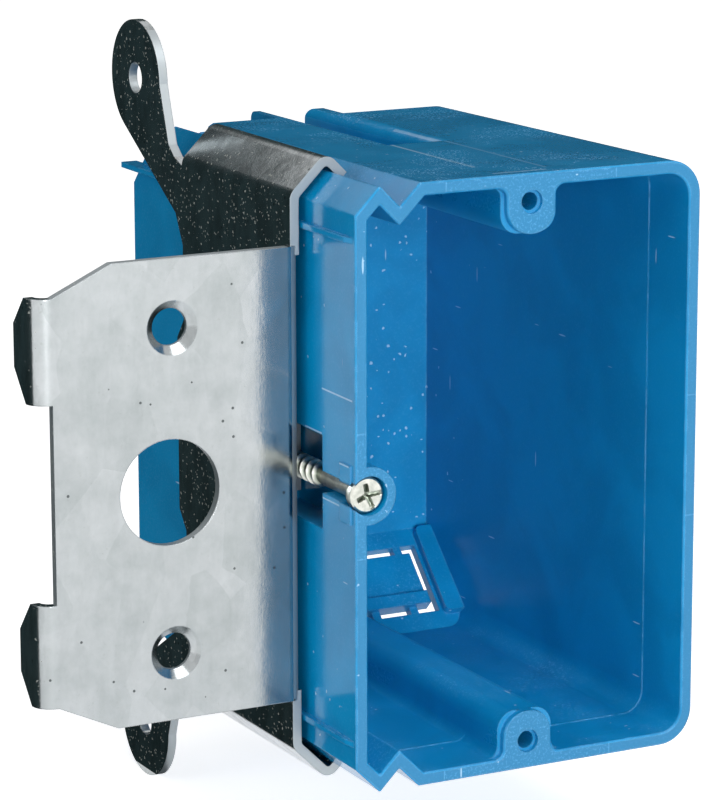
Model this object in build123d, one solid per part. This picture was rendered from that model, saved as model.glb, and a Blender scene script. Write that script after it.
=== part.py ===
from build123d import *
import math
import os

# Adjustable one-gang switch box: a moulded box that slides in a folded steel bracket,
# moved and held by one long screw. X is right, Y is into the wall, Z is up, and the
# origin is midway between the two device screw holes, on the front face of the rim.

# Box moulding
device_spacing = 83.34
device_hole_radius = 1.35
device_mouth_radius = 1.8
device_mouth_depth = 0.8
device_hole_depth = 20.0
box_width = 59.0
box_height = 92.0
box_depth = 82.0
wall = 2.1
side_draft = 1.7
end_draft = 0.6
corner_radius = 5.5
corner_leg = 4.1
groove_depth = 3.3
edge_break = 0.25
outline_blend = 0.3
upper_chamfer = 10.5
lower_chamfer = 16.2

# Screw boss at the rim and the hollow rib that runs back from it
boss_half_width = 4.15
boss_reach = 9.15
boss_lip = 1.2
boss_depth = 11.0
boss_flat = 0.2
rib_root_radius = 1.6
rib_corner_radius = 3.0
channel_half_width = 3.6
channel_wall = 1.1
channel_floor = 2.05
channel_mouth_radius = 2.1
run_out_start = 1.4
run_out_radius = 85.0
core_step = 0.1
fin_thickness = 2.8
far_fin_step = 0.3
fin_end_radius = 1.4

# Guide rails on the left wall
rail_height = 38.1
rail_width = 0.9
rail_stand = 0.5
rail_start = 0.8
rail_ramp = 2.0

# Cable flaps moulded in the slanted back corners
flap_wall = 1.5
flap_slot = 1.4
flap_width = 12.2
flap_length = 10.4
flap_offset = 14.5
bridge_width = 1.5
upper_bridge_shift = 4.0
inner_bridge_shift = 4.4
outer_bridge_shift = 2.8
flap_lip_width = 2.4
flap_lip_stand = 0.9
guide_width = 4.3
guide_length = 17.0
guide_rise = 1.0
guide_end_radius = 1.1
guide_stand = 1.5
guide_gap = 0.6

# Adjusting screw and its seat in the box
screw_inset = 2.3
head_radius = 2.7
head_length = 3.8
head_sunk = 0.8
head_edge = 0.42
head_back_edge = 0.3
head_clearance = 0.3
seat_gap = 0.2
neck_radius = 1.4
neck_clearance = 0.3
neck_end = 13.3
thread_radius = 1.9
thread_clearance = 0.05
screw_length = 56.2
tip_length = 1.6
recess_span = 3.5
recess_slot = 0.75
recess_depth = 1.5
recess_square = 1.5
recess_extra = 0.4
ring_wall = 1.4
pad_stand = 0.25
pad_half_height = 4.5
pad_start = 1.4
pocket_front = 11.2
pocket_margin = 1.7
pocket_tail = 2.2
pocket_wall = 1.1
pocket_clearance = 0.35

# Steel bracket
steel = 1.45
flange_front = 15.9
plate_gap = 0.35
chamfer_gap = 0.85
hook_gap = 0.35
flange_half_height = 35.1
flange_reach = 70.5
flange_corner_x = 61.0
flange_corner_z = 30.7
bend_radius = 1.45
fold_radius = 1.7
hook_radius = 1.35
hook_length = 4.1
channel_start = 0.6
channel_back = 54.5
centre_back = 57.0
centre_half = 14.0
centre_slope = 3.2
fixing_x = 51.4
fixing_spacing = 49.4
fixing_radius = 2.8
dimple_radius = 4.1
dimple_depth = 1.1
knock_x = 52.1
knock_radius = 8.05
ear_low = 15.0
ear_high = 30.9
ear_tip_low = 19.8
ear_tip_high = 26.3
ear_reach = 23.1
ear_stand = 3.0
ear_fold = 2.3
tab_depth = 71.8
tab_height = 53.7
tab_radius = 9.3
tab_hole_radius = 2.5
neck_front = 57.3
neck_foot = 42.9
neck_knee_depth = 59.3
neck_knee_height = 44.5
neck_angle = 30.0
neck_rear_depth = 57.1
neck_rear_height = 34.0
neck_low = 29.2
tongue_depth = 28.0
tongue_half_height = 5.5
tongue_edge = 0.8
tongue_fold = 1.3
window_length = 8.0
window_margin = 0.3

# Values worked out from the ones above
half_width = box_width / 2
half_height = box_height / 2
left_face = -half_width
rib_end = half_height - boss_reach
screw_x = left_face + screw_inset
head_hole_radius = head_radius + head_clearance
neck_slot_radius = neck_radius + neck_clearance
seat_depth = head_sunk + head_length + seat_gap
screw_tip = head_sunk + screw_length
pocket_end = screw_tip + pocket_tail
pocket_half_height = tongue_half_height + pocket_margin
tongue_end_x = screw_x + thread_radius + thread_clearance + tongue_edge
pocket_x = tongue_end_x + pocket_clearance
plate_inner = left_face - rail_stand - plate_gap
plate_outer = plate_inner - steel
channel_front = flange_front + channel_start
far = 200.0
match = 0.01
sides = (1, -1)


def half_width_at(y):
    return half_width - side_draft * y / box_depth


def half_height_at(y):
    return half_height - end_draft * y / box_depth


def chamfer_start(sign):
    """The depth at which a back corner, upper or lower, starts to slant."""
    return box_depth - (upper_chamfer if sign > 0 else lower_chamfer)


def chamfer_sum(sign):
    """Depth plus height, which stays the same all down a slanted back corner."""
    return chamfer_start(sign) + half_height_at(chamfer_start(sign))


def at_depth(sketch, y):
    """A sketch drawn in X and Z, placed at depth y."""
    return Plane.XZ.offset(-y) * sketch


def block(x, y, z):
    """A box between two corners, each axis given as a (low, high) pair."""
    size = [high - low for low, high in (x, y, z)]
    middle = [(high + low) / 2 for low, high in (x, y, z)]
    return Pos(*middle) * Box(*size)


def mirrored(solid):
    """A solid with its copy below the middle."""
    return solid + mirror(solid, about=Plane.XY)


def near(value, target):
    return abs(value - target) < match


def outline_at(y, inset=0):
    """The box's outline at a depth: two round corners, and two cut ones with a V groove.

    The groove's outer flank guides the bracket's hook, so it runs straight while the rest is drafted.
    """
    right = half_width_at(y)
    top = half_height_at(y)
    peak = corner_leg - half_width + half_height - top
    valley = peak + groove_depth
    shoulder = valley + groove_depth
    upper = [(-right, top - peak - right), (peak, top), (valley, top - groove_depth), (shoulder, top),
             (right, top)]
    lower = [(x, -z) for x, z in reversed(upper)]
    face = make_face(Polyline(*upper, *lower, close=True))
    round_corners = [v for v in face.vertices() if near(v.X, right)]
    face = fillet(round_corners, corner_radius)
    if inset:
        face = offset(face, -inset, kind=Kind.INTERSECTION)
    edges = [v for v in face.vertices() if v.X < 0]
    return fillet(edges, outline_blend)


def rib_outline(width, corner):
    """The boss or rib that stands in from the top and the bottom, round at its inner corners."""
    shape = Pos(0, (rib_end + half_height) / 2) * Rectangle(2 * width, half_height - rib_end)
    shape = fillet([v for v in shape.vertices() if near(v.Y, rib_end)], corner)
    return shape + mirror(shape, about=Plane.XZ)


def cavity_outline(y, inset, rib_width, corner):
    """The hollow's outline at a depth, with the boss or rib left standing."""
    face = outline_at(y, inset) - rib_outline(rib_width, corner)
    ceiling = half_height_at(y) - inset
    roots = [v for v in face.vertices() if near(abs(v.X), rib_width) and near(abs(v.Y), ceiling)]
    return fillet(roots, rib_root_radius)


def back_limit(depth, inset):
    """The region in front of the back wall and of the two slanted back corners."""
    reach = half_height + wall
    points = []
    for sign in sides:
        slant = chamfer_sum(sign) - inset * math.sqrt(2)
        points.append([(-wall, sign * reach), (slant - reach, sign * reach), (depth, sign * (slant - depth))])
    upper, lower = points
    face = make_face(Polyline(*upper, *reversed(lower), close=True))
    return extrude(Plane.YZ * face, half_width + wall, both=True)


def hollow():
    """The wiring space: a lip, a band with a fine core step, and the long drafted part."""
    rib = (channel_half_width + channel_wall, rib_corner_radius)
    boss = (boss_half_width, boss_half_width - boss_flat)
    edge = (boss_half_width - edge_break, boss_half_width - edge_break - boss_flat)
    band = wall - core_step
    stages = [(0, band - edge_break, edge, edge_break, band, boss),
              (edge_break, band, boss, boss_lip, band, boss),
              (boss_lip, band, rib, boss_depth, band, rib),
              (boss_depth, wall, rib, box_depth, wall, rib)]
    lofts = []
    for start, start_inset, start_rib, end, end_inset, end_rib in stages:
        front = at_depth(cavity_outline(start, start_inset, *start_rib), start)
        back = at_depth(cavity_outline(end, end_inset, *end_rib), end)
        lofts.append(loft([front, back], ruled=True))
    mouth, lip, band, deep = lofts
    deep &= back_limit(box_depth - wall, flap_wall)
    return mouth + lip + band + deep


def channel_section(y):
    """The outside channel's section at a depth, with its mouth rounded over to each side."""
    top = half_height_at(y)
    floor = rib_end + channel_floor
    roof = half_height + wall
    mouth = channel_half_width + channel_mouth_radius
    lip = top - channel_mouth_radius
    shape = Pos(0, (floor + roof) / 2) * Rectangle(2 * channel_half_width, roof - floor)
    shape += Pos(0, (lip + roof) / 2) * Rectangle(2 * mouth, roof - lip)
    for side in sides:
        shape -= Pos(side * mouth, lip) * Circle(channel_mouth_radius)
    return shape


def rib_channel():
    """The channel along the outside of the rib. Its floor rises to the rim in one long arc."""
    floor = rib_end + channel_floor
    drop = half_height - floor
    reach = math.sqrt(2 * run_out_radius * drop - drop ** 2)
    run_out_end = run_out_start + reach
    wheel = Pos(run_out_start, half_height + run_out_radius) * Circle(run_out_radius)
    arc_part = Pos(run_out_start + reach / 2, half_height) * Rectangle(reach, 2 * drop)
    deep_part = Pos((run_out_end + far) / 2, half_height) * Rectangle(far - run_out_end, 2 * drop)
    side_view = Plane.YZ * (wheel & arc_part) + Plane.YZ * deep_part
    ends = [at_depth(channel_section(y), y) for y in (0, box_depth)]
    return mirrored(loft(ends, ruled=True) & extrude(side_view, far, both=True))


def fins():
    """Four upright fins that carry the rib's sides over the slanted back corners."""
    parts = []
    for sign in sides:
        start = chamfer_start(sign)
        base = chamfer_sum(sign) - wall
        for step, x in ((0, -channel_half_width - fin_thickness), (far_fin_step, channel_half_width)):
            top_start = half_height_at(start) - step
            top_end = half_height_at(box_depth) - step
            points = [(start, sign * top_start), (box_depth, sign * top_end),
                      (box_depth, sign * (base - box_depth)), (start, sign * (base - start))]
            face = make_face(Polyline(*points, close=True))
            end = [v for v in face.vertices() if near(v.X, box_depth) and near(v.Y, sign * top_end)]
            face = fillet(end, fin_end_radius)
            parts.append(Pos(x, 0, 0) * extrude(Plane.YZ * face, fin_thickness, dir=(1, 0, 0)))
    return sum(parts[1:], parts[0])


def rails():
    """Two thin guide rails that run straight along the drafted left wall."""
    outer = left_face - rail_stand
    inner = left_face + side_draft + wall / 4
    points = [(inner, rail_start), (left_face, rail_start), (outer, rail_start + rail_ramp),
              (outer, box_depth), (inner, box_depth)]
    face = make_face(Polyline(*points, close=True))
    rail = extrude(face, rail_width / 2, both=True)
    return mirrored(Pos(0, 0, rail_height) * rail)


def slant_plane(side, sign):
    """A plane in the middle of a slanted back corner, its X along X and its Y down the slant."""
    inset = flap_wall / 2 / math.sqrt(2)
    depth = (chamfer_start(sign) + box_depth) / 2 - inset
    height = chamfer_sum(sign) - depth - 2 * inset
    return Plane(origin=(side * flap_offset, depth, sign * height), x_dir=(side, 0, 0), z_dir=(0, -1, -sign))


def flap_slots(plane):
    """The slots round one cable flap, with the bridges that hold it until it is pushed in."""
    outer = Rectangle(flap_width + 2 * flap_slot, flap_length + 2 * flap_slot)
    slots = outer - Rectangle(flap_width, flap_length)
    reach = (flap_length + flap_slot) / 2
    upward = 1 if plane.y_dir.Y > 0 else -1
    slots -= Pos(upper_bridge_shift, upward * reach) * Rectangle(bridge_width, flap_slot)
    for shift in (-inner_bridge_shift, outer_bridge_shift):
        slots -= Pos(shift, -upward * reach) * Rectangle(bridge_width, flap_slot)
    return extrude(plane * slots, 2 * wall, both=True)


def flap_ribs(plane):
    """The raised lip at the foot of a flap and the upright guide beside it."""
    upward = 1 if plane.y_dir.Y > 0 else -1
    foot = upward * (flap_lip_width - flap_length) / 2
    lip = Pos(0, foot) * Rectangle(flap_width, flap_lip_width)
    guide_x = flap_width / 2 + flap_slot + guide_gap + guide_width / 2
    guide = Pos(guide_x, upward * guide_rise) * Rectangle(guide_width, guide_length)
    guide = fillet(guide.vertices(), guide_end_radius)
    shape = extrude(plane * lip, flap_wall / 2 + flap_lip_stand)
    return shape + extrude(plane * guide, flap_wall / 2 + guide_stand)


def screw_seat():
    """The ring round the screw's head and the housing of the pocket behind it, both solid."""
    ring = Pos(screw_x, 0) * Circle(head_hole_radius + ring_wall)
    housing = block((left_face, pocket_x + pocket_wall), (pocket_front - wall, pocket_end + pocket_wall),
                    (-pocket_half_height - pocket_wall, pocket_half_height + pocket_wall))
    return extrude(at_depth(ring, 0), pocket_front, dir=(0, 1, 0)) + housing


def screw_spaces():
    """The head's hole, the open trough for the neck and the pocket for the bracket's tongue."""
    head = extrude(at_depth(Pos(screw_x, 0) * Circle(head_hole_radius), 0), seat_depth, dir=(0, 1, 0))
    trough = Pos(screw_x, 0) * Circle(neck_slot_radius)
    trough += Pos(screw_x - screw_inset, 0) * Rectangle(2 * screw_inset, 2 * neck_slot_radius)
    neck = extrude(at_depth(trough, seat_depth), pocket_front - seat_depth, dir=(0, 1, 0))
    pocket = block((left_face - wall, pocket_x), (pocket_front, pocket_end),
                   (-pocket_half_height, pocket_half_height))
    return head + neck + pocket


def device_holes():
    """The two holes for the switch's screws, with their wider mouths."""
    spots = [Pos(0, sign * device_spacing / 2) for sign in sides]
    holes = [spot * Circle(device_hole_radius) for spot in spots]
    mouths = [spot * Circle(device_mouth_radius) for spot in spots]
    bore = extrude(at_depth(holes[0] + holes[1], 0), device_hole_depth, dir=(0, 1, 0))
    return bore + extrude(at_depth(mouths[0] + mouths[1], 0), device_mouth_depth, dir=(0, 1, 0))


def box_moulding():
    """The blue box: one moulding with its rails, fins, flaps and screw seat."""
    skin = loft([at_depth(outline_at(0, edge_break), 0),
                 at_depth(outline_at(edge_break), edge_break)], ruled=True)
    skin += loft([at_depth(outline_at(edge_break), edge_break),
                  at_depth(outline_at(box_depth), box_depth)], ruled=True)
    body = skin & back_limit(box_depth, 0)
    body -= hollow()
    body += screw_seat() & skin
    planes = [slant_plane(side, sign) for side in sides for sign in sides]
    for plane in planes:
        body += flap_ribs(plane) & skin
    body += fins()
    body += rails()
    body += block((left_face - pad_stand, left_face + wall / 2), (pad_start, seat_depth),
                  (-pad_half_height, pad_half_height))
    body -= rib_channel()
    for plane in planes:
        body -= flap_slots(plane)
    return body - screw_spaces() - device_holes()


def channel_strip():
    """The guide channel's section: up the side plate, over the cut corner and into the groove."""
    middle = plate_inner - steel / 2
    slant = half_height - corner_leg - left_face + (chamfer_gap + steel / 2) * math.sqrt(2)
    flank = half_height + left_face + corner_leg + (hook_gap + steel / 2) * math.sqrt(2)
    peak = Vector((flank - slant) / 2, (flank + slant) / 2)
    tip = peak + Vector(1, -1) * hook_length / math.sqrt(2)
    path = FilletPolyline((middle, flange_half_height - steel), (middle, slant + middle),
                          (peak.X, peak.Y), (tip.X, tip.Y), radius=[fold_radius, hook_radius])
    return trace(path, steel)


def side_plate():
    """The plate beside the box, with a rounded nailing tab at each end."""
    slope_end = centre_half + centre_slope
    tangent = math.radians(neck_angle)
    rear = (tab_depth + tab_radius * math.sin(tangent), tab_height - tab_radius * math.cos(tangent))
    bend_end = flange_front + bend_radius + steel
    strip_top = half_height - corner_leg
    points = [(bend_end, 0), (bend_end, flange_half_height), (channel_front, flange_half_height),
              (channel_front, strip_top), (channel_back, strip_top),
              (neck_front, neck_foot), (neck_knee_depth, neck_knee_height),
              (tab_depth - tab_radius, tab_height), (tab_depth, tab_height), rear,
              (neck_rear_depth, neck_rear_height), (channel_back, neck_low), (channel_back, slope_end),
              (centre_back, centre_half), (centre_back, 0)]
    face = make_face(Polyline(*points, close=True))
    face += Pos(tab_depth, tab_height) * Circle(tab_radius)
    face -= Pos(tab_depth, tab_height) * Circle(tab_hole_radius)
    plate = Pos(plate_outer, 0, 0) * extrude(Plane.YZ * face, steel)
    return mirrored(plate)


def flange():
    """The front flange, folded from the side plate, with its holes, cut corners and two ears."""
    middle_x = plate_inner - steel / 2
    middle_y = flange_front + steel / 2
    path = FilletPolyline((-flange_reach, middle_y), (middle_x, middle_y),
                          (middle_x, middle_y + bend_radius + steel), radius=bend_radius)
    sheet = extrude(trace(path, steel), flange_half_height, both=True)
    ear_x = -flange_reach - ear_stand + steel / 2
    ear_root = flange_front + ear_stand
    before = flange_front - steel
    ear_path = FilletPolyline((-flange_corner_x, middle_y), (ear_x, middle_y), (ear_x, ear_reach),
                              radius=ear_fold)
    ear_side = [(before, ear_low), (ear_root, ear_low), (ear_reach, ear_tip_low),
                (ear_reach, ear_tip_high), (ear_root, ear_high), (before, ear_high)]
    ear_region = extrude(Plane.YZ * make_face(Polyline(*ear_side, close=True)), far, both=True)
    ear = extrude(trace(ear_path, steel), ear_high) & ear_region
    sheet += mirrored(ear)
    corner = [(0, flange_half_height), (-flange_corner_x, flange_half_height),
              (-flange_reach, flange_corner_z), (-far, flange_corner_z)]
    trim = make_face(Polyline(*corner, *[(x, -z) for x, z in reversed(corner)], close=True))
    sheet &= extrude(at_depth(trim, 0), far, dir=(0, 1, 0))
    knock = at_depth(Pos(-knock_x, 0) * Circle(knock_radius), 0)
    sheet -= extrude(knock, far, dir=(0, 1, 0))
    for sign in sides:
        sheet = dimple(sheet, sign * fixing_spacing / 2)
    return sheet


def dimple(sheet, z):
    """One fixing hole, pressed in as a shallow cone so that a screw's head sits flush."""
    cone_height = dimple_depth + steel
    slope = (dimple_radius - fixing_radius) / dimple_depth
    rim = dimple_radius + steel / 2
    place = Location((-fixing_x, flange_front, z), (-90, 0, 0))
    outer = place * Pos(0, 0, cone_height / 2) * Cone(rim, rim - slope * cone_height, cone_height)
    inner = place * Pos(0, 0, dimple_depth / 2) * Cone(dimple_radius, fixing_radius, dimple_depth)
    hole = place * Pos(0, 0, cone_height / 2) * Cylinder(fixing_radius, cone_height + 2 * steel)
    return sheet + outer - inner - hole


def tongue():
    """The threaded tongue, lanced from the side plate and folded into the box's pocket."""
    middle = plate_inner - steel / 2
    face_y = tongue_depth + steel / 2
    path = FilletPolyline((middle, tongue_depth - 2 * steel), (middle, face_y), (tongue_end_x, face_y),
                          radius=tongue_fold)
    return extrude(trace(path, steel), tongue_half_height, both=True)


def tongue_window():
    """The gap that the lanced tongue leaves in the side plate."""
    half = tongue_half_height + window_margin
    start = tongue_depth - tongue_fold
    return block((plate_outer - steel, plate_inner + steel), (start, start + window_length), (-half, half))


def steel_bracket():
    """The bracket: one folded and pierced strip of galvanised steel."""
    body = side_plate()
    strip = at_depth(channel_strip(), channel_front)
    body += mirrored(extrude(strip, channel_back - channel_front, dir=(0, 1, 0)))
    body += flange()
    body -= tongue_window()
    body += tongue()
    bore = at_depth(Pos(screw_x, 0) * Circle(thread_radius + thread_clearance), flange_front + steel)
    return body - extrude(bore, channel_back - flange_front, dir=(0, 1, 0))


def adjusting_screw():
    """The adjusting screw: cheese head, smooth neck and a long thread, drawn at its crests."""
    head_back = head_sunk + head_length
    points = [(0, head_sunk), (head_radius - head_edge, head_sunk), (head_radius, head_sunk + head_edge),
              (head_radius, head_back - head_back_edge), (neck_radius, head_back), (neck_radius, neck_end),
              (thread_radius, neck_end + neck_clearance), (thread_radius, screw_tip - tip_length),
              (thread_radius / 2, screw_tip), (0, screw_tip)]
    profile = make_face(Polyline(*points, close=True))
    screw = revolve(profile, axis=Axis.Y, revolution_arc=360)
    wing = Box(recess_span, 2 * recess_depth, recess_slot)
    recess = wing + Rot(0, 90, 0) * wing
    recess += Box(recess_square, 2 * (recess_depth + recess_extra), recess_square)
    screw -= Pos(0, head_sunk, 0) * recess
    return Pos(screw_x, 0, 0) * screw


def write(name, solid):
    export_step(solid, f"parts/{name}.step")
    print(name, len(solid.solids()), round(solid.volume, 1))


os.makedirs("parts", exist_ok=True)
write("box", box_moulding())
write("bracket", steel_bracket())
write("adjusting_screw", adjusting_screw())
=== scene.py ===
import bpy
import bmesh
import math
from mathutils import Euler, Matrix, Vector


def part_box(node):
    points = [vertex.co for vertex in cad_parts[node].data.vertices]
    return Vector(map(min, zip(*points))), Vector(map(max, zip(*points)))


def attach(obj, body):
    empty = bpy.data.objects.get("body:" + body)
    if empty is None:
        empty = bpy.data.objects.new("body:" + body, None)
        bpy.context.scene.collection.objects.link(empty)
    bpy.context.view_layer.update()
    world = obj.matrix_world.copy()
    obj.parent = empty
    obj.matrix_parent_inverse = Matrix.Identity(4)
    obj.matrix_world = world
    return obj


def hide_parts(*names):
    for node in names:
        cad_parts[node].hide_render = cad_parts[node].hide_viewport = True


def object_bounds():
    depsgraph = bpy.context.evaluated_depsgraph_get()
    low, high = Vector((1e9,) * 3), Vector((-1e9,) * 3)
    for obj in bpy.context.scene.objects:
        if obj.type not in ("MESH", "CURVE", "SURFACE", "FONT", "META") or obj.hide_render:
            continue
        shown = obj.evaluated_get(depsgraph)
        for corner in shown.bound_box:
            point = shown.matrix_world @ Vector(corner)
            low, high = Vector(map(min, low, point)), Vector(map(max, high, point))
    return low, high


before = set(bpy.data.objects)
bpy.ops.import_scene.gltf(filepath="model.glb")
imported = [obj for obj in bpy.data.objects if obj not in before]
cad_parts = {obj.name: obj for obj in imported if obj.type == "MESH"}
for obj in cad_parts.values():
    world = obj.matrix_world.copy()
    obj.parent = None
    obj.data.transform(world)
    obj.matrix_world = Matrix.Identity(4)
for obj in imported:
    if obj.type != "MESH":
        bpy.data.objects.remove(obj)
cad_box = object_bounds()

# The box itself: one injection moulding in blue PVC, semi-gloss from a polished mould.
# The rim is finely speckled between two parting lines, and handling has left nicks and scuffs. Some pale edge
# lines are painted highlights, and the rim's face carries painted shade.
# Places and pattern sizes are in millimetres; a length times mm is in the scene's metres.
mm = 0.001
pvc_deep = "#0084BC"
pvc_blue = "#0090CA"
pvc_pale = "#62B0E4"
pvc_nick_and_highlight = "#A8D0EE"
# The rim's front face: a darker, greyer blue, partly its whitened skin and partly painted shade.
rim_blue_and_painted_shade = "#1D7BAC"
pvc_roughness = 0.12
core_roughness = 0.32
pvc_ior = 1.53
pvc_edge_round = 0.4 * mm
pvc_relief = 0.03 * mm
# Where things are on the moulding.
rim_depth = 0.4
gate_half_width = 14.5
gate_half_height = 9.5
screw_gate_x = -20.0
insert_line = 0.12
witness_depth = 11.0
witness_line = 0.1
left_wall_x = -28.0
end_face_z = 44.0
back_wall_y = 60.0
core_reach = 3.0
cavity_reach = 9.0
# The size of one grain, patch or wave of each pattern.
grain_size = 0.385
worn_patch = 14.3
ragged_wave = 0.5
broken_run = 4.0
dent_cluster = 9.09
flow_wave = 16.7
peel_wave = 2.0
# Scattered marks: the size of a cell, where in a cell the mark ends and is full, and the cells left bare.
nicks = (2.38, 0.1, 0.07, 0.82)
dents = (1.11, 0.26, 0.2, 0.7)
scratches = (1.0, 0.13, 0.09, 0.93)
scratch_cells = (((0.3, 0.5, 0.2), (2.0, 9.09, 1.11)), ((-0.6, 0.2, 0.4), (1.43, 1.25, 11.1)))
# Straight marks: the axis across, its place, the half width, the axis along, from, to, and the strength.
wall_scratches = ((2, 14.3, 0.13, 1, 1.1, 11.3, 1.0), (2, 7.4, 0.13, 1, 11.4, 17.2, 1.0),
                  (2, 4.3, 0.13, 1, 1.8, 5.0, 1.0), (2, -2.4, 0.13, 1, 5.1, 17.6, 1.0))
# Painted highlights on the ends: pale lines along the channel's two edges and across its mouth.
end_channel_painted_highlights = ((0, -4.8, 0.26, 1, 9.0, 56.0, 0.95), (0, 4.6, 0.26, 1, 4.0, 52.0, 0.4),
              (1, 2.2, 0.35, 0, -5.5, 3.6, 0.7))


def linear(hex_colour):
    """An sRGB hex colour as linear RGBA."""
    parts = [int(hex_colour[i:i + 2], 16) / 255 for i in (1, 3, 5)]
    return [c / 12.92 if c <= 0.04045 else ((c + 0.055) / 1.055) ** 2.4 for c in parts] + [1.0]


def new_material(name):
    """An empty material and its node tree."""
    material = bpy.data.materials.new(name)
    material.use_nodes = True
    material.node_tree.nodes.clear()
    return material, material.node_tree


def add(tree, kind, inputs=None, **settings):
    """A node with its settings; an input is a value, a socket, or a node that gives its first output."""
    node = tree.nodes.new(kind)
    for name, value in settings.items():
        setattr(node, name, value)
    for name, value in (inputs or {}).items():
        if isinstance(value, bpy.types.Node):
            value = value.outputs[0]
        if isinstance(value, bpy.types.NodeSocket):
            tree.links.new(value, node.inputs[name])
        else:
            node.inputs[name].default_value = value
    return node


def in_millimetres(tree):
    """The object's own coordinates in millimetres, as one vector and as its x, y and z."""
    place = add(tree, "ShaderNodeTexCoord").outputs["Object"]
    in_mm = add(tree, "ShaderNodeMapping", {"Vector": place, "Scale": (1 / mm,) * 3})
    return in_mm, add(tree, "ShaderNodeSeparateXYZ", {0: in_mm}).outputs


def rounded_edges(tree, radius, full):
    """A normal that rounds the edges, the face's own normal, and a mask that is full on the edges."""
    rounded = add(tree, "ShaderNodeBevel", {"Radius": radius}, samples=2)
    flat = add(tree, "ShaderNodeNewGeometry").outputs["Normal"]
    bent = add(tree, "ShaderNodeVectorMath", {0: rounded, 1: flat}, operation="DOT_PRODUCT").outputs["Value"]
    edge = add(tree, "ShaderNodeMapRange", {"Value": bent, "From Min": 0.99, "From Max": full})
    return rounded, flat, edge


def scattered(tree, vector, cell, end, full, bare):
    """A mask of small marks, one in the middle of each cell that chance doesn't leave bare."""
    cells = add(tree, "ShaderNodeTexVoronoi", {"Vector": vector, "Scale": 1 / cell})
    mark = add(tree, "ShaderNodeMapRange", {"Value": cells.outputs["Distance"], "From Min": end, "From Max": full})
    chance = add(tree, "ShaderNodeSeparateXYZ", {0: cells.outputs["Color"]})
    kept = add(tree, "ShaderNodeMath", {0: chance, 1: bare}, operation="GREATER_THAN")
    return add(tree, "ShaderNodeMath", {0: mark, 1: kept}, operation="MULTIPLY")


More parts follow.
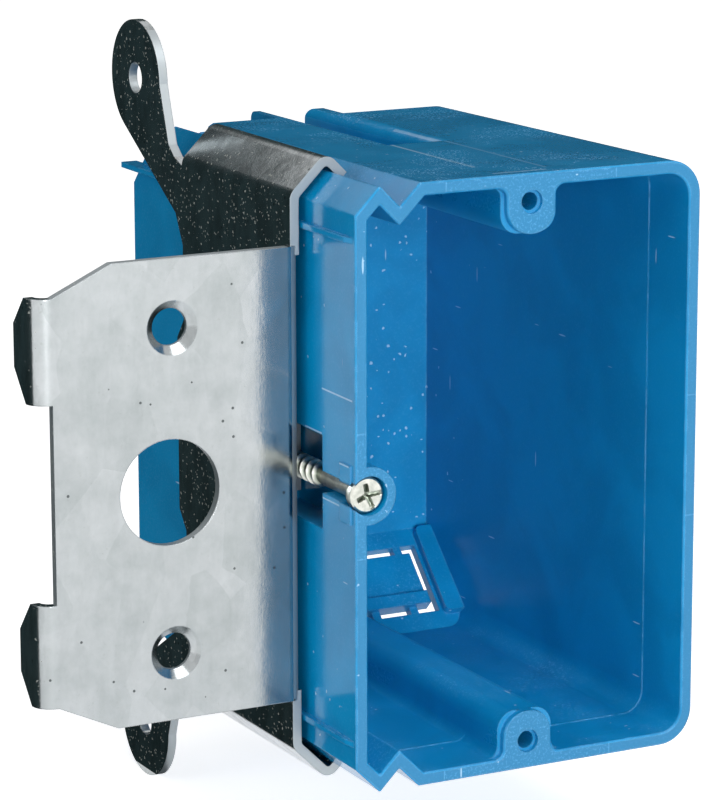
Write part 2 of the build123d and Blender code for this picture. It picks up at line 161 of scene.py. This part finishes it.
def moulded_pvc():
    """Blue moulded PVC: a smooth gloss, with pale specks and nicks where the skin is whitened, painted highlights
    on some edges and painted shade on the rim's face.
    """
    material, tree = new_material("moulded_blue_pvc")
    in_mm, at = in_millimetres(tree)
    rounded, flat, edge = rounded_edges(tree, pvc_edge_round, 0.86)
    facing = add(tree, "ShaderNodeSeparateXYZ", {0: flat}).outputs
    # The rim's front face, the raised faces by its gates, and the lines of the mould's inserts.
    front = add(tree, "ShaderNodeMapRange", {"Value": facing[1], "From Min": -0.9, "From Max": -0.98})
    near = add(tree, "ShaderNodeMapRange", {"Value": at[1], "From Min": rim_depth + 0.2, "From Max": rim_depth})
    rim = add(tree, "ShaderNodeMath", {0: front, 1: near}, operation="MULTIPLY")
    across = add(tree, "ShaderNodeMath", {0: at[0]}, operation="ABSOLUTE")
    upright = add(tree, "ShaderNodeMath", {0: at[2]}, operation="ABSOLUTE")
    gate = add(tree, "ShaderNodeMapRange", {"Value": across, "From Min": gate_half_width + 0.1,
                                            "From Max": gate_half_width})
    beside_screw = add(tree, "ShaderNodeMapRange", {"Value": upright, "From Min": gate_half_height + 0.1,
                                                    "From Max": gate_half_height})
    left_side = add(tree, "ShaderNodeMapRange", {"Value": at[0], "From Min": screw_gate_x,
                                                 "From Max": screw_gate_x - 1})
    beside_screw = add(tree, "ShaderNodeMath", {0: beside_screw, 1: left_side}, operation="MULTIPLY")
    gate = add(tree, "ShaderNodeMath", {0: gate, 1: beside_screw}, operation="MAXIMUM")
    gate = add(tree, "ShaderNodeMath", {0: gate, 1: rim}, operation="MULTIPLY")
    lines = add(tree, "ShaderNodeMath", {0: across, 1: gate_half_width, 2: insert_line}, operation="COMPARE")
    line = add(tree, "ShaderNodeMath", {0: upright, 1: gate_half_height, 2: insert_line}, operation="COMPARE")
    lines = add(tree, "ShaderNodeMath", {0: lines, 1: line}, operation="MAXIMUM")
    lines = add(tree, "ShaderNodeMath", {0: lines, 1: rim}, operation="MULTIPLY")
    # Fine speckle: strong on the gate faces and where upward faces are worn, faint elsewhere.
    grains = add(tree, "ShaderNodeTexNoise", {"Vector": in_mm, "Scale": 1 / grain_size, "Detail": 2.0,
                                              "Roughness": 0.6})
    grains = add(tree, "ShaderNodeMapRange", {"Value": grains, "From Min": 0.52, "From Max": 0.66})
    upward = add(tree, "ShaderNodeMapRange", {"Value": facing[2], "From Min": 0.3, "From Max": 0.9})
    worn = add(tree, "ShaderNodeTexNoise", {"Vector": in_mm, "Scale": 1 / worn_patch, "Detail": 4.0,
                                            "Roughness": 0.6})
    worn = add(tree, "ShaderNodeMapRange", {"Value": worn, "From Min": 0.42, "From Max": 0.62},
               interpolation_type="SMOOTHSTEP")
    worn_top = add(tree, "ShaderNodeMath", {0: upward, 1: worn}, operation="MULTIPLY")
    level = add(tree, "ShaderNodeMath", {0: gate, 1: 0.28, 2: 0.1}, operation="MULTIPLY_ADD")
    level = add(tree, "ShaderNodeMath", {0: worn_top, 1: 0.5, 2: level}, operation="MULTIPLY_ADD")
    speckle = add(tree, "ShaderNodeMath", {0: grains, 1: level}, operation="MULTIPLY")
    # Nicks up to half a millimetre across, and short scratches of about 2 mm in two directions.
    bend = add(tree, "ShaderNodeTexNoise", {"Vector": in_mm, "Scale": 1 / ragged_wave, "Detail": 2.0})
    ragged = add(tree, "ShaderNodeMixRGB", {0: 0.6, 1: in_mm, 2: bend.outputs["Color"]}, blend_type="ADD")
    marks = scattered(tree, ragged, *nicks)
    for turn, cell in scratch_cells:
        along = add(tree, "ShaderNodeMapping", {"Vector": in_mm, "Rotation": turn,
                                                "Scale": [1 / side for side in cell]})
        scratch = scattered(tree, along, *scratches)
        marks = add(tree, "ShaderNodeMath", {0: marks, 1: scratch}, operation="MAXIMUM")
    # Four longer rubs beside the screw, and painted highlights: pale lines along the edges and mouth of the ends'
    # channel.
    outer_left = add(tree, "ShaderNodeMapRange", {"Value": at[0], "From Min": left_wall_x,
                                                  "From Max": left_wall_x - 0.5})
    on_end = add(tree, "ShaderNodeMapRange", {"Value": upright, "From Min": end_face_z,
                                              "From Max": end_face_z + 0.4})
    for face, streaks in ((outer_left, wall_scratches), (on_end, end_channel_painted_highlights)):
        for axis, place, half_width, way, start, stop, strength in streaks:
            mark = add(tree, "ShaderNodeMath", {0: at[axis], 1: place, 2: half_width}, operation="COMPARE")
            within = add(tree, "ShaderNodeMath", {0: at[way], 1: (start + stop) / 2, 2: (stop - start) / 2},
                         operation="COMPARE")
            for share in (within, face, strength):
                mark = add(tree, "ShaderNodeMath", {0: mark, 1: share}, operation="MULTIPLY")
            marks = add(tree, "ShaderNodeMath", {0: marks, 1: mark}, operation="MAXIMUM")
    # Clusters of small dents from wiring tools on the inside of the back wall.
    behind = add(tree, "ShaderNodeMath", {0: at[1], 1: back_wall_y}, operation="GREATER_THAN")
    cluster = add(tree, "ShaderNodeTexNoise", {"Vector": in_mm, "Scale": 1 / dent_cluster, "Detail": 1.0})
    cluster = add(tree, "ShaderNodeMath", {0: cluster, 1: 0.5}, operation="GREATER_THAN")
    dent = scattered(tree, ragged, *dents)
    for mask in (cluster, behind, front):
        dent = add(tree, "ShaderNodeMath", {0: dent, 1: mask}, operation="MULTIPLY")
    marks = add(tree, "ShaderNodeMath", {0: marks, 1: dent}, operation="MAXIMUM")
    # The witness line where the core's two halves met, painted pale for the highlight on its small step, and pale
    # edges that are partly mould flash and partly painted highlight, both broken.
    broken = add(tree, "ShaderNodeTexNoise", {"Vector": in_mm, "Scale": 1 / broken_run, "Detail": 3.0})
    broken = add(tree, "ShaderNodeMapRange", {"Value": broken, "From Min": 0.42, "From Max": 0.56},
                 interpolation_type="SMOOTHSTEP")
    witness_mark_and_highlight = add(tree, "ShaderNodeMath", {0: at[1], 1: witness_depth, 2: witness_line}, operation="COMPARE")
    witness_mark_and_highlight = add(tree, "ShaderNodeMath", {0: witness_mark_and_highlight, 1: broken}, operation="MULTIPLY")
    flash_and_painted_highlight = add(tree, "ShaderNodeMath", {0: edge, 1: broken}, operation="MULTIPLY")
    pale = speckle
    for mask, share in ((witness_mark_and_highlight, 0.14), (lines, 0.3), (flash_and_painted_highlight, 0.7), (worn_top, 0.04)):
        pale = add(tree, "ShaderNodeMath", {0: mask, 1: share, 2: pale}, operation="MULTIPLY_ADD", use_clamp=True)
    # Flow of the melt: a slow change of the blue over about 17 mm.
    flow = add(tree, "ShaderNodeTexNoise", {"Vector": in_mm, "Scale": 1 / flow_wave, "Detail": 3.0,
                                            "Distortion": 0.6})
    flow = add(tree, "ShaderNodeMapRange", {"Value": flow, "From Min": 0.35, "From Max": 0.65},
               interpolation_type="SMOOTHSTEP")
    # Nicks, scratches and dents, and the painted highlights on the ends' channel, all take the pale nick colour.
    nicks_and_painted_highlights = add(tree, "ShaderNodeMath", {0: marks, 1: 0.8}, operation="MULTIPLY")
    colour = add(tree, "ShaderNodeMixRGB", {0: flow, 1: linear(pvc_deep), 2: linear(pvc_blue)})
    for mask, tone in ((rim, rim_blue_and_painted_shade), (pale, pvc_pale), (nicks_and_painted_highlights, pvc_nick_and_highlight)):
        colour = add(tree, "ShaderNodeMixRGB", {0: mask, 1: colour, 2: linear(tone)})
    # The cavity that shaped the outside was polished; the core that shaped the inside was not.
    outward = add(tree, "ShaderNodeVectorMath", {0: in_mm, 1: flat}, operation="DOT_PRODUCT").outputs["Value"]
    rough = add(tree, "ShaderNodeMapRange", {"Value": outward, "From Min": core_reach, "From Max": cavity_reach,
                                             "To Min": core_roughness, "To Max": pvc_roughness})
    for mask, share in ((flow, 0.04), (pale, 0.3)):
        rough = add(tree, "ShaderNodeMath", {0: mask, 1: share, 2: rough}, operation="MULTIPLY_ADD")
    # Orange peel over 2 mm, and the speckle, nicks and mould lines standing a few hundredths of a millimetre.
    peel = add(tree, "ShaderNodeTexNoise", {"Vector": in_mm, "Scale": 1 / peel_wave, "Detail": 2.0})
    height = add(tree, "ShaderNodeMath", {0: peel, 1: 0.35}, operation="MULTIPLY")
    for mask, share in ((speckle, 0.5), (marks, -1.0), (lines, -1.5), (gate, 1.0)):
        height = add(tree, "ShaderNodeMath", {0: mask, 1: share, 2: height}, operation="MULTIPLY_ADD")
    bump = add(tree, "ShaderNodeBump", {"Height": height, "Normal": rounded, "Strength": 1.0,
                                        "Distance": pvc_relief})
    shader = add(tree, "ShaderNodeBsdfPrincipled", {"Base Color": colour, "Roughness": rough, "IOR": pvc_ior,
                                                    "Normal": bump})
    add(tree, "ShaderNodeOutputMaterial", {"Surface": shader})
    return material


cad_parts["box"].data.materials.clear()
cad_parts["box"].data.materials.append(moulded_pvc())

# The bracket: one strip of galvanised steel, pierced, cut and folded in a press tool.
# The zinc shows a soft spangle, dust specks and press marks, and its sheared edges are matt.
zinc_light = "#B7BBBD"
zinc_dark = "#9FA5A6"
dust = "#B4B9B3"
soot = "#5C6162"
sheared_edge = "#A6ADB0"
zinc_roughness = 0.1
zinc_edge_round = 0.25 * mm
zinc_relief = 0.015 * mm
flange_middle_x = -51.5
flange_half_width = 19.1
flange_back_y = 18.5
plate_face_x = -31.9
# The size of one grain, patch or wave of each pattern, in x, y and z where it is stretched.
border_wave = 4.0
crystal_size = (6.67, 6.67, 11.1)
cloud_wave = 6.25
rub_wave = (2.22, 3.33, 8.33)
chip_wave = 0.333
speck_cell = 0.667
pit_cell = 1.667
zinc_grain = 0.556


def galvanised_steel():
    """Hot-dip zinc on sheet steel: a soft metal sheen that changes from crystal to crystal."""
    material, tree = new_material("galvanised_steel")
    in_mm, at = in_millimetres(tree)
    rounded, flat, edge = rounded_edges(tree, zinc_edge_round, 0.9)
    facing = add(tree, "ShaderNodeSeparateXYZ", {0: flat}).outputs
    # The sheared edges: the flange's own, and the front and tab edges of the side plate and channel.
    forward = add(tree, "ShaderNodeMath", {0: facing[1]}, operation="ABSOLUTE")
    cut = add(tree, "ShaderNodeMath", {0: at[0], 1: flange_middle_x, 2: flange_half_width}, operation="COMPARE")
    edge_on = add(tree, "ShaderNodeMath", {0: forward, 1: 0.3}, operation="LESS_THAN")
    flat_sheet = add(tree, "ShaderNodeMath", {0: at[1], 1: flange_back_y}, operation="LESS_THAN")
    for mask in (edge_on, flat_sheet):
        cut = add(tree, "ShaderNodeMath", {0: cut, 1: mask}, operation="MULTIPLY")
    on_sides = add(tree, "ShaderNodeMath", {0: at[0], 1: plate_face_x}, operation="GREATER_THAN")
    front_edge = add(tree, "ShaderNodeMath", {0: facing[1], 1: -0.5}, operation="LESS_THAN")
    front_edge = add(tree, "ShaderNodeMath", {0: front_edge, 1: on_sides}, operation="MULTIPLY")
    cut = add(tree, "ShaderNodeMath", {0: cut, 1: front_edge}, operation="MAXIMUM")
    edge = add(tree, "ShaderNodeMath", {0: edge, 1: cut}, operation="MAXIMUM")
    # Spangle crystals about 7 mm across and 11 mm tall, with ragged borders.
    bend = add(tree, "ShaderNodeTexNoise", {"Vector": in_mm, "Scale": 1 / border_wave, "Detail": 3.0})
    ragged = add(tree, "ShaderNodeMixRGB", {0: 0.5, 1: in_mm, 2: bend.outputs["Color"]}, blend_type="ADD")
    spread = add(tree, "ShaderNodeMapping", {"Vector": ragged, "Scale": [1 / side for side in crystal_size]})
    crystals = add(tree, "ShaderNodeTexVoronoi", {"Vector": spread, "Scale": 1.0}).outputs["Color"]
    crystal = add(tree, "ShaderNodeSeparateXYZ", {0: crystals}).outputs
    cloud = add(tree, "ShaderNodeTexNoise", {"Vector": in_mm, "Scale": 1 / cloud_wave, "Detail": 6.0,
                                             "Roughness": 0.66})
    tone = add(tree, "ShaderNodeMath", {0: crystal[0], 1: 0.18}, operation="MULTIPLY")
    tone = add(tree, "ShaderNodeMath", {0: cloud, 1: 0.9, 2: tone}, operation="MULTIPLY_ADD")
    tone = add(tree, "ShaderNodeMapRange", {"Value": tone, "From Min": 0.3, "From Max": 0.8})
    colour = add(tree, "ShaderNodeMixRGB", {0: tone, 1: linear(zinc_dark), 2: linear(zinc_light)})
    # Rub marks from the coil and the press tool, long in z.
    spread = add(tree, "ShaderNodeMapping", {"Vector": in_mm, "Scale": [1 / side for side in rub_wave]})
    rubbed = add(tree, "ShaderNodeTexNoise", {"Vector": spread, "Scale": 1.0, "Detail": 4.0, "Roughness": 0.7})
    # Pale dust specks up to 0.4 mm across, and sparser dark pits of half a millimetre.
    chips = add(tree, "ShaderNodeTexNoise", {"Vector": in_mm, "Scale": 1 / chip_wave, "Detail": 2.0})
    chipped = add(tree, "ShaderNodeMixRGB", {0: 0.7, 1: in_mm, 2: chips.outputs["Color"]}, blend_type="ADD")
    small = add(tree, "ShaderNodeTexVoronoi", {"Vector": chipped, "Scale": 1 / speck_cell})
    chance = add(tree, "ShaderNodeSeparateXYZ", {0: small.outputs["Color"]}).outputs
    size = add(tree, "ShaderNodeMath", {0: chance[1], 1: 0.2, 2: 0.08}, operation="MULTIPLY_ADD")
    speck = add(tree, "ShaderNodeMath", {0: small.outputs["Distance"], 1: size}, operation="LESS_THAN")
    kept = add(tree, "ShaderNodeMath", {0: chance[0], 1: 0.68}, operation="GREATER_THAN")
    dusty = add(tree, "ShaderNodeMapRange", {"Value": forward, "From Min": 0.9, "From Max": 0.3, "To Min": 0.12})
    for mask in (kept, dusty):
        speck = add(tree, "ShaderNodeMath", {0: speck, 1: mask}, operation="MULTIPLY")
    sparse = add(tree, "ShaderNodeTexVoronoi", {"Vector": in_mm, "Scale": 1 / pit_cell})
    chance = add(tree, "ShaderNodeSeparateXYZ", {0: sparse.outputs["Color"]})
    pit = add(tree, "ShaderNodeMath", {0: sparse.outputs["Distance"], 1: 0.14}, operation="LESS_THAN")
    kept = add(tree, "ShaderNodeMath", {0: chance, 1: 0.94}, operation="GREATER_THAN")
    pit = add(tree, "ShaderNodeMath", {0: pit, 1: kept}, operation="MULTIPLY")
    smudge = add(tree, "ShaderNodeMapRange", {"Value": rubbed, "From Min": 0.42, "From Max": 0.62, "To Max": 0.45},
                 interpolation_type="SMOOTHSTEP")
    smudge = add(tree, "ShaderNodeMath", {0: smudge, 1: dusty}, operation="MULTIPLY")
    for mask, layer in ((smudge, soot), (edge, sheared_edge), (speck, dust), (pit, soot)):
        colour = add(tree, "ShaderNodeMixRGB", {0: mask, 1: colour, 2: linear(layer)})
    metal = add(tree, "ShaderNodeMath", {0: speck, 1: -0.75, 2: 1.0}, operation="MULTIPLY_ADD")
    metal = add(tree, "ShaderNodeMath", {0: cut, 1: -0.2, 2: metal}, operation="MULTIPLY_ADD", use_clamp=True)
    rough = zinc_roughness
    for mask, share in ((crystal[1], 0.03), (rubbed, 0.1), (cut, 0.25)):
        rough = add(tree, "ShaderNodeMath", {0: mask, 1: share, 2: rough}, operation="MULTIPLY_ADD")
    grain = add(tree, "ShaderNodeTexNoise", {"Vector": in_mm, "Scale": 1 / zinc_grain, "Detail": 3.0})
    height = rubbed
    for mask, share in ((grain, 0.3), (cloud, 1.5)):
        height = add(tree, "ShaderNodeMath", {0: mask, 1: share, 2: height}, operation="MULTIPLY_ADD")
    bump = add(tree, "ShaderNodeBump", {"Height": height, "Normal": rounded, "Strength": 1.0,
                                        "Distance": zinc_relief})
    shader = add(tree, "ShaderNodeBsdfPrincipled", {"Base Color": colour, "Roughness": rough, "Metallic": metal,
                                                    "Normal": bump})
    add(tree, "ShaderNodeOutputMaterial", {"Surface": shader})
    return material


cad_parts["bracket"].data.materials.clear()
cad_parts["bracket"].data.materials.append(galvanised_steel())

# The adjusting screw: cold-formed steel with a rolled coarse thread, bright zinc plated.
# Its head turns in the ring on the box and its thread runs in the bracket's pierced hole.
screw_low, screw_high = [Vector(corner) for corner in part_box("adjusting_screw")]
screw_x = (screw_low.x + screw_high.x) / 2
screw_z = (screw_low.z + screw_high.z) / 2
screw_face = screw_low.y
screw_length = screw_high.y - screw_low.y
head_radius = (screw_high.x - screw_low.x) / 2
head_length = 3.8 * mm
head_side = 1.6 * mm
head_edge = 0.25 * mm
neck_radius = 1.4 * mm
neck_fillet = (0.25 * mm, 0.5 * mm)
core_radius = 1.3 * mm
core_step = 0.4 * mm
thread_start = 12.5 * mm
thread_lead = 2.0 * mm
crest_radius = 1.9 * mm
crest_half = 0.16 * mm
root_half = 0.6 * mm
buried_radius = 1.15 * mm
tip_length = 1.6 * mm
tip_radius = 0.7 * mm
face_ring = 0.12 * mm
turn_steps = 96
thread_steps = 32
sharp_angle = 38
# The recess: its depth, each arm's angle, reach and half width, its sloping walls, and how much an arm rises.
recess_depth = 1.1 * mm
recess_arms = ((98, 1.75, 0.4), (5, 2.5, 0.36), (-65, 2.5, 0.36), (205, 1.8, 0.4))
wall_slope = 0.1
end_slope = 0.25
arm_rise = 0.6
plate_colour = "#DDDDD5"
plate_grey = "#B4B8AF"
# Grey painted into the recess and the thread's gaps as shade.
recess_painted_shade = "#7F877C"
plate_roughness = 0.34
plate_cloud = 1.11
plate_grain = 0.333
plate_relief = 0.008 * mm


def revolve(shape, profile, steps):
    """Turn a line of (radius, along) points about the screw's axis into a closed skin."""
    points = [shape.verts.new((screw_x + radius, screw_face + along, screw_z)) for radius, along in profile]
    sides = [shape.edges.new(pair) for pair in zip(points, points[1:])]
    bmesh.ops.spin(shape, geom=points + sides, cent=(screw_x, 0, screw_z), axis=(0, 1, 0), dvec=(0, 0, 0),
                   angle=2 * math.pi, steps=steps, use_merge=True)


def recess_at(x, z):
    """How deep the driver recess is at a point of the head's face."""
    deepest = 0
    for angle, reach, half_width in recess_arms:
        c, s = math.cos(math.radians(angle)), math.sin(math.radians(angle))
        out = (x * c + z * s) / mm
        aside = abs(z * c - x * s) / mm
        if out > -half_width:
            wall = min(1, max(0, (half_width - aside) / wall_slope))
            end = min(1, max(0, (reach - out) / end_slope))
            deepest = max(deepest, wall * end * (1 - arm_rise * max(out, 0) / reach))
    return deepest * recess_depth


shape = bmesh.new()
rings = [(i * face_ring, 0) for i in range(int((head_radius - head_edge) / face_ring))]
revolve(shape, rings + [(head_radius - head_edge, 0), (head_radius, head_edge), (head_radius, head_side),
                        (neck_radius + neck_fillet[0], head_length - neck_fillet[1]),
                        (neck_radius, head_length), (neck_radius, thread_start),
                        (core_radius, thread_start + core_step), (core_radius, screw_length - tip_length),
                        (tip_radius, screw_length), (0, screw_length)], turn_steps)
bmesh.ops.remove_doubles(shape, verts=shape.verts, dist=0.001 * mm)
for vert in shape.verts:
    if vert.co.y < screw_face + 0.01 * mm:
        vert.co.y += recess_at(vert.co.x - screw_x, vert.co.z - screw_z)
# The thread: a ridge swept along a helix, sunk into the core and run out over a turn at each end.
turns = int((screw_length - tip_length - thread_start) / thread_lead)
ridge = [(buried_radius, -root_half), (crest_radius, -crest_half), (crest_radius, crest_half),
         (buried_radius, root_half)]
points = [shape.verts.new((screw_x + radius, screw_face + thread_start + thread_lead / 2 + along, screw_z))
          for radius, along in ridge]
sides = [shape.edges.new((points[i], points[(i + 1) % 4])) for i in range(4)]
before = set(shape.verts) - set(points)
bmesh.ops.spin(shape, geom=points + sides, cent=(screw_x, 0, screw_z), axis=(0, 1, 0),
               dvec=(0, thread_lead / thread_steps, 0), angle=2 * math.pi * turns, steps=thread_steps * turns,
               use_merge=False)
thread = [vert for vert in shape.verts if vert not in before]
for vert in thread:
    along = vert.co.y - screw_face - thread_start
    share = min(1, max(0, min(along / thread_lead, (turns + 1) - along / thread_lead)))
    radial = Vector((vert.co.x - screw_x, 0, vert.co.z - screw_z))
    kept = buried_radius + (radial.length - buried_radius) * share
    vert.co.x = screw_x + radial.x / radial.length * kept
    vert.co.z = screw_z + radial.z / radial.length * kept
bmesh.ops.holes_fill(shape, edges=[edge for edge in shape.edges if edge.is_boundary], sides=4)
bmesh.ops.recalc_face_normals(shape, faces=shape.faces)
screw_mesh = bpy.data.meshes.new("adjusting_screw_plated")
shape.to_mesh(screw_mesh)
shape.free()
screw_mesh.shade_smooth()
screw_mesh.set_sharp_from_angle(angle=math.radians(sharp_angle))


def zinc_plate():
    """Bright zinc plating: mirror-like but slightly cloudy, with a painted shade of grey down in the recess and
    the thread's gaps.
    """
    material, tree = new_material("bright_zinc_plate")
    in_mm, at = in_millimetres(tree)
    cloud = add(tree, "ShaderNodeTexNoise", {"Vector": in_mm, "Scale": 1 / plate_cloud, "Detail": 4.0,
                                             "Roughness": 0.6})
    tone = add(tree, "ShaderNodeMapRange", {"Value": cloud, "From Min": 0.3, "From Max": 0.7})
    colour = add(tree, "ShaderNodeMixRGB", {0: tone, 1: linear(plate_grey), 2: linear(plate_colour)})
    # Painted shade in the recess: below the face, inside the head's rim and not as far back as the neck.
    aside = add(tree, "ShaderNodeMath", {0: at[0], 1: screw_x / mm}, operation="SUBTRACT")
    above = add(tree, "ShaderNodeMath", {0: at[2], 1: screw_z / mm}, operation="SUBTRACT")
    radius = add(tree, "ShaderNodeCombineXYZ", {0: aside, 2: above})
    radius = add(tree, "ShaderNodeVectorMath", {0: radius}, operation="LENGTH").outputs["Value"]
    hollow_painted_shade = add(tree, "ShaderNodeMapRange", {"Value": at[1], "From Min": screw_face / mm + 0.12,
                                            "From Max": screw_face / mm + 0.6})
    inner = add(tree, "ShaderNodeMath", {0: radius, 1: head_radius / mm - 0.1}, operation="LESS_THAN")
    in_head = add(tree, "ShaderNodeMath", {0: at[1], 1: screw_face / mm + 1.5}, operation="LESS_THAN")
    for mask in (inner, in_head):
        hollow_painted_shade = add(tree, "ShaderNodeMath", {0: hollow_painted_shade, 1: mask}, operation="MULTIPLY")
    # Painted shade in the thread's gaps: from a little below its crests down to the core.
    gap = add(tree, "ShaderNodeMapRange", {"Value": radius, "From Min": crest_radius / mm - 0.15,
                                           "From Max": core_radius / mm + 0.05})
    on_thread = add(tree, "ShaderNodeMath", {0: at[1], 1: (screw_face + thread_start) / mm + 0.3},
                    operation="GREATER_THAN")
    gap = add(tree, "ShaderNodeMath", {0: gap, 1: on_thread}, operation="MULTIPLY")
    hollow_painted_shade = add(tree, "ShaderNodeMath", {0: hollow_painted_shade, 1: gap}, operation="MAXIMUM")
    colour = add(tree, "ShaderNodeMixRGB", {0: hollow_painted_shade, 1: colour, 2: linear(recess_painted_shade)})
    rough = add(tree, "ShaderNodeMath", {0: tone, 1: -0.06, 2: plate_roughness}, operation="MULTIPLY_ADD")
    grain = add(tree, "ShaderNodeTexNoise", {"Vector": in_mm, "Scale": 1 / plate_grain, "Detail": 3.0})
    bump = add(tree, "ShaderNodeBump", {"Height": grain, "Strength": 1.0, "Distance": plate_relief})
    shader = add(tree, "ShaderNodeBsdfPrincipled", {"Base Color": colour, "Roughness": rough, "Metallic": 1.0,
                                                    "Normal": bump})
    add(tree, "ShaderNodeOutputMaterial", {"Surface": shader})
    return material


screw_mesh.materials.append(zinc_plate())
screw = bpy.data.objects.new("adjusting_screw_plated", screw_mesh)
bpy.context.scene.collection.objects.link(screw)
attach(screw, "screw")
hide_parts("adjusting_screw")

# The studio: a pale floor and a white background, a large soft lamp near the camera, weaker ones at the
# left and above, and dark cards behind the object that only reflections see. Lengths are in metres.
white = "#FFFFFF"
world_light = 0.28
floor_height = cad_box[0][2]
floor_size = 6.0
floor_colour = "#EDEDED"
floor_lift = 0.72
floor_roughness = 0.9
back_slate = "#2C3B3D"
side_slate = "#3A4B4D"
lamps = (("front_lamp", (-0.3, -1.35, 0.16), 0.5, 13.5),
         ("left_lamp", (-1.25, -0.15, 0.5), 0.7, 3.2),
         ("top_lamp", (0.1, -0.75, 1.1), 0.8, 8))
camera_place = Vector((-0.27184, -0.46692, 0.13241))
camera_azimuth = math.radians(-27.525)
camera_elevation = math.radians(12.607)
camera_roll = math.radians(-0.107)
focal_length = 166.4
sensor = 36.0
nearest_seen = 0.01


def white_to_view(tree, soft_light, light_level):
    """A background that the camera and reflections see as white, and that lights the object softly."""
    path = add(tree, "ShaderNodeLightPath").outputs
    seen = add(tree, "ShaderNodeMath", {0: path["Is Camera Ray"], 1: path["Is Glossy Ray"]}, operation="MAXIMUM")
    seen = add(tree, "ShaderNodeMath", {0: seen, 1: path["Is Transmission Ray"]}, operation="MAXIMUM")
    plain = add(tree, "ShaderNodeBackground", {"Color": linear(white), "Strength": 1.0})
    soft = add(tree, "ShaderNodeBackground", {"Color": linear(soft_light), "Strength": light_level})
    both = add(tree, "ShaderNodeMixShader", {0: seen, 1: soft, 2: plain})
    add(tree, "ShaderNodeOutputWorld", {"Surface": both})


world = bpy.data.worlds.new("studio")
bpy.context.scene.world = world
world.use_nodes = True
world.node_tree.nodes.clear()
white_to_view(world.node_tree, white, world_light)


def card(name, size, place, turn, material):
    """A flat stage card, size in metres, at a place and turned by degrees about X, Y and Z."""
    mesh = bpy.data.meshes.new(name)
    sheet = bmesh.new()
    bmesh.ops.create_grid(sheet, x_segments=1, y_segments=1, size=0.5)
    bmesh.ops.scale(sheet, verts=sheet.verts, vec=(size[0], size[1], 1))
    turned = Matrix.Translation(place) @ Euler([math.radians(a) for a in turn]).to_matrix().to_4x4()
    bmesh.ops.transform(sheet, verts=sheet.verts, matrix=turned)
    sheet.to_mesh(mesh)
    sheet.free()
    mesh.materials.append(material)
    item = bpy.data.objects.new(name, mesh)
    bpy.context.scene.collection.objects.link(item)
    return item


def floor_paint():
    """Pale floor paint, lifted to white for the camera so that only the object's shadow shows."""
    material, tree = new_material("pale_floor")
    path = add(tree, "ShaderNodeLightPath").outputs
    seen = add(tree, "ShaderNodeMath", {0: path["Is Camera Ray"], 1: path["Is Glossy Ray"]}, operation="MAXIMUM")
    lift = add(tree, "ShaderNodeMath", {0: seen, 1: floor_lift}, operation="MULTIPLY")
    shader = add(tree, "ShaderNodeBsdfPrincipled", {"Base Color": linear(floor_colour),
                                                    "Roughness": floor_roughness, "Specular IOR Level": 0.0,
                                                    "Emission Color": linear(white), "Emission Strength": lift})
    add(tree, "ShaderNodeOutputMaterial", {"Surface": shader})
    return material


def slate_card(name, colour):
    """Dark slate card: matte, so the metal and plastic that mirror it look dark grey-green."""
    material, tree = new_material(name)
    shader = add(tree, "ShaderNodeBsdfDiffuse", {"Color": linear(colour)})
    add(tree, "ShaderNodeOutputMaterial", {"Surface": shader})
    return material


card("floor", (floor_size, floor_size), (0, 0, floor_height), (0, 0, 0), floor_paint())
cards = (card("back_card", (1.8, 0.265), (-0.1, 0.3, 0.0525), (90, 0, 0), slate_card("dark_slate", back_slate)),
         card("side_card", (0.9, 0.9), (-0.48, 0.46, floor_height + mm), (0, 0, 0),
              slate_card("slate", side_slate)))
for item in cards:
    item.visible_camera = False
    item.visible_diffuse = False
    item.visible_shadow = False
    item.visible_transmission = False

for name, place, size, power in lamps:
    data = bpy.data.lights.new(name, "AREA")
    data.shape = "SQUARE"
    data.size = size
    data.energy = power
    lamp = bpy.data.objects.new(name, data)
    lamp.location = place
    lamp.rotation_euler = (-Vector(place)).to_track_quat("-Z", "Y").to_euler()
    bpy.context.scene.collection.objects.link(lamp)

camera_data = bpy.data.cameras.new("camera")
camera_data.lens = focal_length
camera_data.sensor_width = sensor
camera_data.clip_start = nearest_seen
camera = bpy.data.objects.new("camera", camera_data)
back = Vector((math.sin(camera_azimuth) * math.cos(camera_elevation),
               -math.cos(camera_azimuth) * math.cos(camera_elevation), math.sin(camera_elevation)))
right = Vector((math.cos(camera_azimuth), math.sin(camera_azimuth), 0))
up = back.cross(right)
turned_right = math.cos(camera_roll) * right + math.sin(camera_roll) * up
turned_up = math.cos(camera_roll) * up - math.sin(camera_roll) * right
aim = Matrix((turned_right, turned_up, back)).transposed().to_4x4()
camera.matrix_world = Matrix.Translation(camera_place) @ aim
bpy.context.scene.collection.objects.link(camera)
bpy.context.scene.camera = camera
bpy.context.scene.view_settings.view_transform = "Standard"
